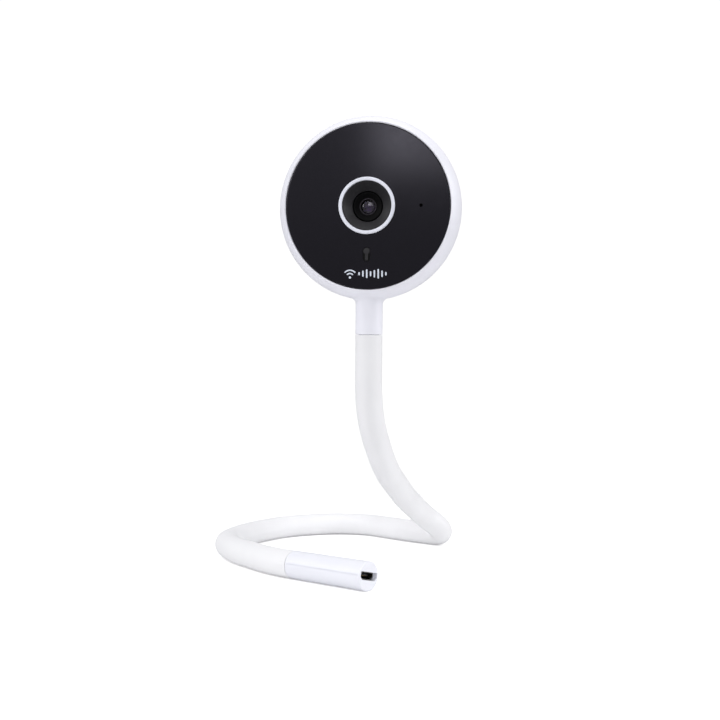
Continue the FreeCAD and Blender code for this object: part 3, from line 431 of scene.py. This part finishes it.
def neck_line():
    """Points down the middle of the tube, in millimetres: straight runs and tangent arcs."""
    seam = (HEAD @ Vector((0, -COLLAR_END, -SHELL_MIDDLE))) / MM
    down = (HEAD.to_3x3() @ Vector((0, -1, 0))).normalized()
    corners = [(seam, 0.0), (seam + down * NECK_TOP_RUN, NECK_TOP_BEND)]
    corners += [(Vector(place), bend) for place, bend in NECK_BENDS]
    corners.append((TAIL_SEAM / MM, 0.0))
    line = [corners[0][0]]
    for i in range(1, len(corners) - 1):
        corner, bend = corners[i]
        inward = (corner - corners[i - 1][0]).normalized()
        outward = (corners[i + 1][0] - corner).normalized()
        half = inward.angle(outward) / 2
        reach = bend * math.tan(half)
        begin = corner - inward * reach
        centre = corner + (outward - inward).normalized() * bend / math.cos(half)
        steps = max(2, round(half * 2 * bend / LINE_STEP))
        axis = inward.cross(outward)
        for step in range(steps + 1):
            turn = Matrix.Rotation(half * 2 * step / steps, 3, axis)
            line.append(centre + turn @ (begin - centre))
    line.append(corners[-1][0])
    return line


def evenly(line):
    """The same line with its points evenly spaced."""
    lengths = [0.0]
    for before, after in zip(line, line[1:]):
        lengths.append(lengths[-1] + (after - before).length)
    count = round(lengths[-1] / LINE_STEP)
    made, at = [], 0
    for i in range(count + 1):
        wanted = lengths[-1] * i / count
        while at < len(line) - 2 and lengths[at + 1] < wanted:
            at += 1
        step = lengths[at + 1] - lengths[at]
        share = (wanted - lengths[at]) / step if step else 0.0
        made.append(line[at].lerp(line[at + 1], min(1.0, share)))
    return made


def eased(line):
    """The line with its bends run into each other: each point is the mean of those near it."""
    made = []
    for i in range(len(line)):
        span = min(LINE_EASE, i, len(line) - 1 - i)
        near = line[i - span:i + span + 1]
        made.append(sum(near, Vector((0, 0, 0))) / len(near))
    return made


CENTRELINE = eased(eased(evenly(neck_line())))


def tube_frames(line):
    """A tangent and a side direction at each point, with the side carried along untwisted."""
    tangents = []
    for i in range(len(line)):
        ahead, behind = line[min(i + 1, len(line) - 1)], line[max(i - 1, 0)]
        tangents.append((ahead - behind).normalized())
    side = HEAD_RIGHT.copy()
    frames = []
    for tangent in tangents:
        side = (side - tangent * side.dot(tangent)).normalized()
        frames.append((tangent, side.copy(), tangent.cross(side)))
    return frames


FRAMES = tube_frames(CENTRELINE)
SLEEVE_WALL = 1.2
SLEEVE_SEGMENTS = 72
# The rounding and the fine gap where the sleeve meets the collar and the tail.
END_ROUND = 0.2
END_GAP = 0.14


def nearest(place):
    """The index of the centreline's point nearest to a place given in metres."""
    place = Vector(place) / MM
    return min(range(len(CENTRELINE)), key=lambda i: (CENTRELINE[i] - place).length)


def sleeve_piece(name, first, last, node_names):
    """One closed length of the silicone sleeve between two points of the centreline."""
    made = bmesh.new()
    inner = TUBE_RADIUS - SLEEVE_WALL

    def ring(index, radius, along=0.0):
        tangent, side, up = FRAMES[index]
        spots = []
        for k in range(SLEEVE_SEGMENTS):
            angle = math.tau * k / SLEEVE_SEGMENTS
            spot = CENTRELINE[index] + (side * math.cos(angle) + up * math.sin(angle)) * radius
            spots.append(made.verts.new((spot + tangent * along) * MM))
        return spots

    def outer_end(index, way):
        """The rings of an end: rounded, with a fine gap, where it meets the collar or the tail."""
        if index not in (0, len(CENTRELINE) - 1):
            return [ring(index, TUBE_RADIUS)]
        rings = [ring(index, inner, way * END_GAP)]
        for turn in (0, 15, 30, 45, 60, 75, 90):
            lift, drop = math.sin(math.radians(turn)), 1 - math.cos(math.radians(turn))
            radius = TUBE_RADIUS - END_ROUND * (1 - lift)
            rings.append(ring(index, radius, way * (END_GAP + END_ROUND * drop)))
        return rings

    rings = outer_end(first, 1)
    rings += [ring(index, TUBE_RADIUS) for index in range(first + 1, last)]
    rings += outer_end(last, -1)[::-1]
    rings += [ring(index, inner) for index in range(last - 2, first + 1, -4)]
    for before, after in zip(rings, rings[1:] + rings[:1]):
        for k in range(SLEEVE_SEGMENTS):
            following = (k + 1) % SLEEVE_SEGMENTS
            made.faces.new((before[k], before[following], after[following], after[k]))
    return finish_mesh(name, made, None, FINISHES["sleeve_white"], node_names)


def make_sleeve():
    """The sleeve in four lengths that meet between the hinges."""
    joints = {name: named(frame["joints"], name) for name in
              ("head_tilt", "neck_sway", "neck_lift", "tail_swing")}
    hinges = [nearest(joints[name]["pos_m"]) for name in joints]
    cuts = [0] + [(a + b) // 2 for a, b in zip(hinges, hinges[1:])] + [len(CENTRELINE) - 1]
    stand_ins = [("sleeve_top",), ("sleeve_upper",), ("sleeve_lower", "sleeve_base"),
                 ("sleeve_tail",)]
    for i, (name, joint) in enumerate(joints.items()):
        piece = sleeve_piece(f"gooseneck_sleeve_{i + 1}", cuts[i], cuts[i + 1], stand_ins[i])
        bodies = [joint["child"], joint["parent"]]
        if name == "tail_swing":
            bodies.reverse()
        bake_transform(piece)


# ---------------------------------------------------------------- studio

# The room's glow: the height it starts from, its strength there, and its strength overhead.
ROOM_HORIZON = (-0.1, 0.32)
ROOM_ZENITH = 0.7
ROOM_TINT = (0.975, 0.975, 1.0, 1.0)
BACKDROP_STRENGTH = 1.05
# The floor paper: where it starts and ends its fade, and how much the camera sees it lifted.
FLOOR_FADE = (0.13, 0.4)
FLOOR_LIFT = 0.3
LIGHTS_AIM = Vector((0, 0, 0.08))


def floor_paper():
    """Matt white paper that fades out towards its edge, into the white behind it."""
    made = moulded("floor_paper", linear(250, 250, 250), 0.9, 900, 0.0, 0.004,
                   emission_color=(1.0, 1.0, 1.0, 1.0), emission_strength=0.05)
    nodes, links = made.node_tree.nodes, made.node_tree.links
    place = nodes.new("ShaderNodeTexCoord")
    distance = nodes.new("ShaderNodeVectorMath")
    distance.operation = "LENGTH"
    fade = nodes.new("ShaderNodeMapRange")
    fade.interpolation_type = "SMOOTHSTEP"
    fade.inputs["From Min"].default_value = FLOOR_FADE[0]
    fade.inputs["From Max"].default_value = FLOOR_FADE[1]
    clear = nodes.new("ShaderNodeBsdfTransparent")
    mix = nodes.new("ShaderNodeMixShader")
    links.new(place.outputs["Object"], distance.inputs[0])
    links.new(distance.outputs["Value"], fade.inputs["Value"])
    links.new(fade.outputs["Result"], mix.inputs["Fac"])
    lift = nodes.new("ShaderNodeEmission")
    lift.inputs["Strength"].default_value = FLOOR_LIFT
    lifted = nodes.new("ShaderNodeAddShader")
    seen = nodes.new("ShaderNodeMixShader")
    ray = nodes.new("ShaderNodeLightPath")
    paper = nodes["Principled BSDF"].outputs["BSDF"]
    links.new(paper, lifted.inputs[0])
    links.new(lift.outputs["Emission"], lifted.inputs[1])
    links.new(ray.outputs["Is Camera Ray"], seen.inputs["Fac"])
    links.new(paper, seen.inputs[1])
    links.new(lifted.outputs["Shader"], seen.inputs[2])
    links.new(seen.outputs["Shader"], mix.inputs[1])
    links.new(clear.outputs["BSDF"], mix.inputs[2])
    links.new(mix.outputs["Shader"], nodes["Material Output"].inputs["Surface"])
    return made


def make_floor():
    made = bmesh.new()
    bmesh.ops.create_circle(made, cap_ends=True, segments=96, radius=1.0)
    mesh = bpy.data.meshes.new("studio_floor")
    made.to_mesh(mesh)
    made.free()
    floor = bpy.data.objects.new("studio_floor", mesh)
    bpy.context.scene.collection.objects.link(floor)
    mesh.materials.append(floor_paper())
    floor.visible_glossy = False


def add_light(name, azimuth, elevation, distance, size, power):
    """A square soft light that faces the object from a direction, in degrees."""
    a, e = math.radians(azimuth), math.radians(elevation)
    away = Vector((math.sin(a) * math.cos(e), -math.cos(a) * math.cos(e), math.sin(e)))
    data = bpy.data.lights.new(name, "AREA")
    data.size = size
    data.energy = power
    light = bpy.data.objects.new(name, data)
    light.location = LIGHTS_AIM + away * distance
    light.rotation_mode = "QUATERNION"
    light.rotation_quaternion = away.to_track_quat("Z", "Y")
    bpy.context.scene.collection.objects.link(light)


def make_world():
    """White where the camera looks past the object; for the rest, a room brighter overhead."""
    world = bpy.data.worlds.new("studio")
    bpy.context.scene.world = world
    world.use_nodes = True
    nodes, links = world.node_tree.nodes, world.node_tree.links
    room = nodes["Background"]
    direction = nodes.new("ShaderNodeTexCoord")
    height = nodes.new("ShaderNodeSeparateXYZ")
    links.new(direction.outputs["Generated"], height.inputs["Vector"])
    glow = nodes.new("ShaderNodeMapRange")
    glow.inputs["From Min"].default_value = ROOM_HORIZON[0]
    glow.inputs["From Max"].default_value = 1.0
    glow.inputs["To Min"].default_value = ROOM_HORIZON[1]
    glow.inputs["To Max"].default_value = ROOM_ZENITH
    links.new(height.outputs["Z"], glow.inputs["Value"])
    links.new(glow.outputs["Result"], room.inputs["Strength"])
    room.inputs["Color"].default_value = ROOM_TINT
    white = nodes.new("ShaderNodeBackground")
    white.inputs["Color"].default_value = (1.0, 1.0, 1.0, 1.0)
    white.inputs["Strength"].default_value = BACKDROP_STRENGTH
    ray = nodes.new("ShaderNodeLightPath")
    mix = nodes.new("ShaderNodeMixShader")
    links.new(ray.outputs["Is Camera Ray"], mix.inputs["Fac"])
    links.new(room.outputs["Background"], mix.inputs[1])
    links.new(white.outputs["Background"], mix.inputs[2])
    links.new(mix.outputs["Shader"], nodes["World Output"].inputs["Surface"])


def make_camera():
    """The viewpoint: low in front, looking slightly up, 47.5 mm on a 36 mm sensor."""
    data = bpy.data.cameras.new("camera")
    data.lens = 47.5
    data.sensor_width = 36.0
    camera = bpy.data.objects.new("camera", data)
    camera.location = (0.0102, -0.4125, 0.0645)
    camera.rotation_euler = (math.radians(90 + 2.84), 0, 0)
    bpy.context.scene.collection.objects.link(camera)
    bpy.context.scene.camera = camera


def make_studio():
    make_floor()
    make_world()
    add_light("overhead", 10, 76, 0.8, 0.7, 1.75)
    add_light("front_top", 1, 27, 0.9, 0.42, 0.8)
    add_light("spark", -6, 22, 0.9, 0.12, 0.06)
    add_light("right", 76, 20, 0.8, 0.5, 2.2)
    add_light("left", -66, 26, 0.8, 0.5, 2.15)
    make_camera()
    bpy.context.scene.view_settings.view_transform = "Standard"


finish_cad_nodes()
make_lens()
make_mic_mesh()
make_diffuser()
make_mark()
make_sleeve()
make_studio()
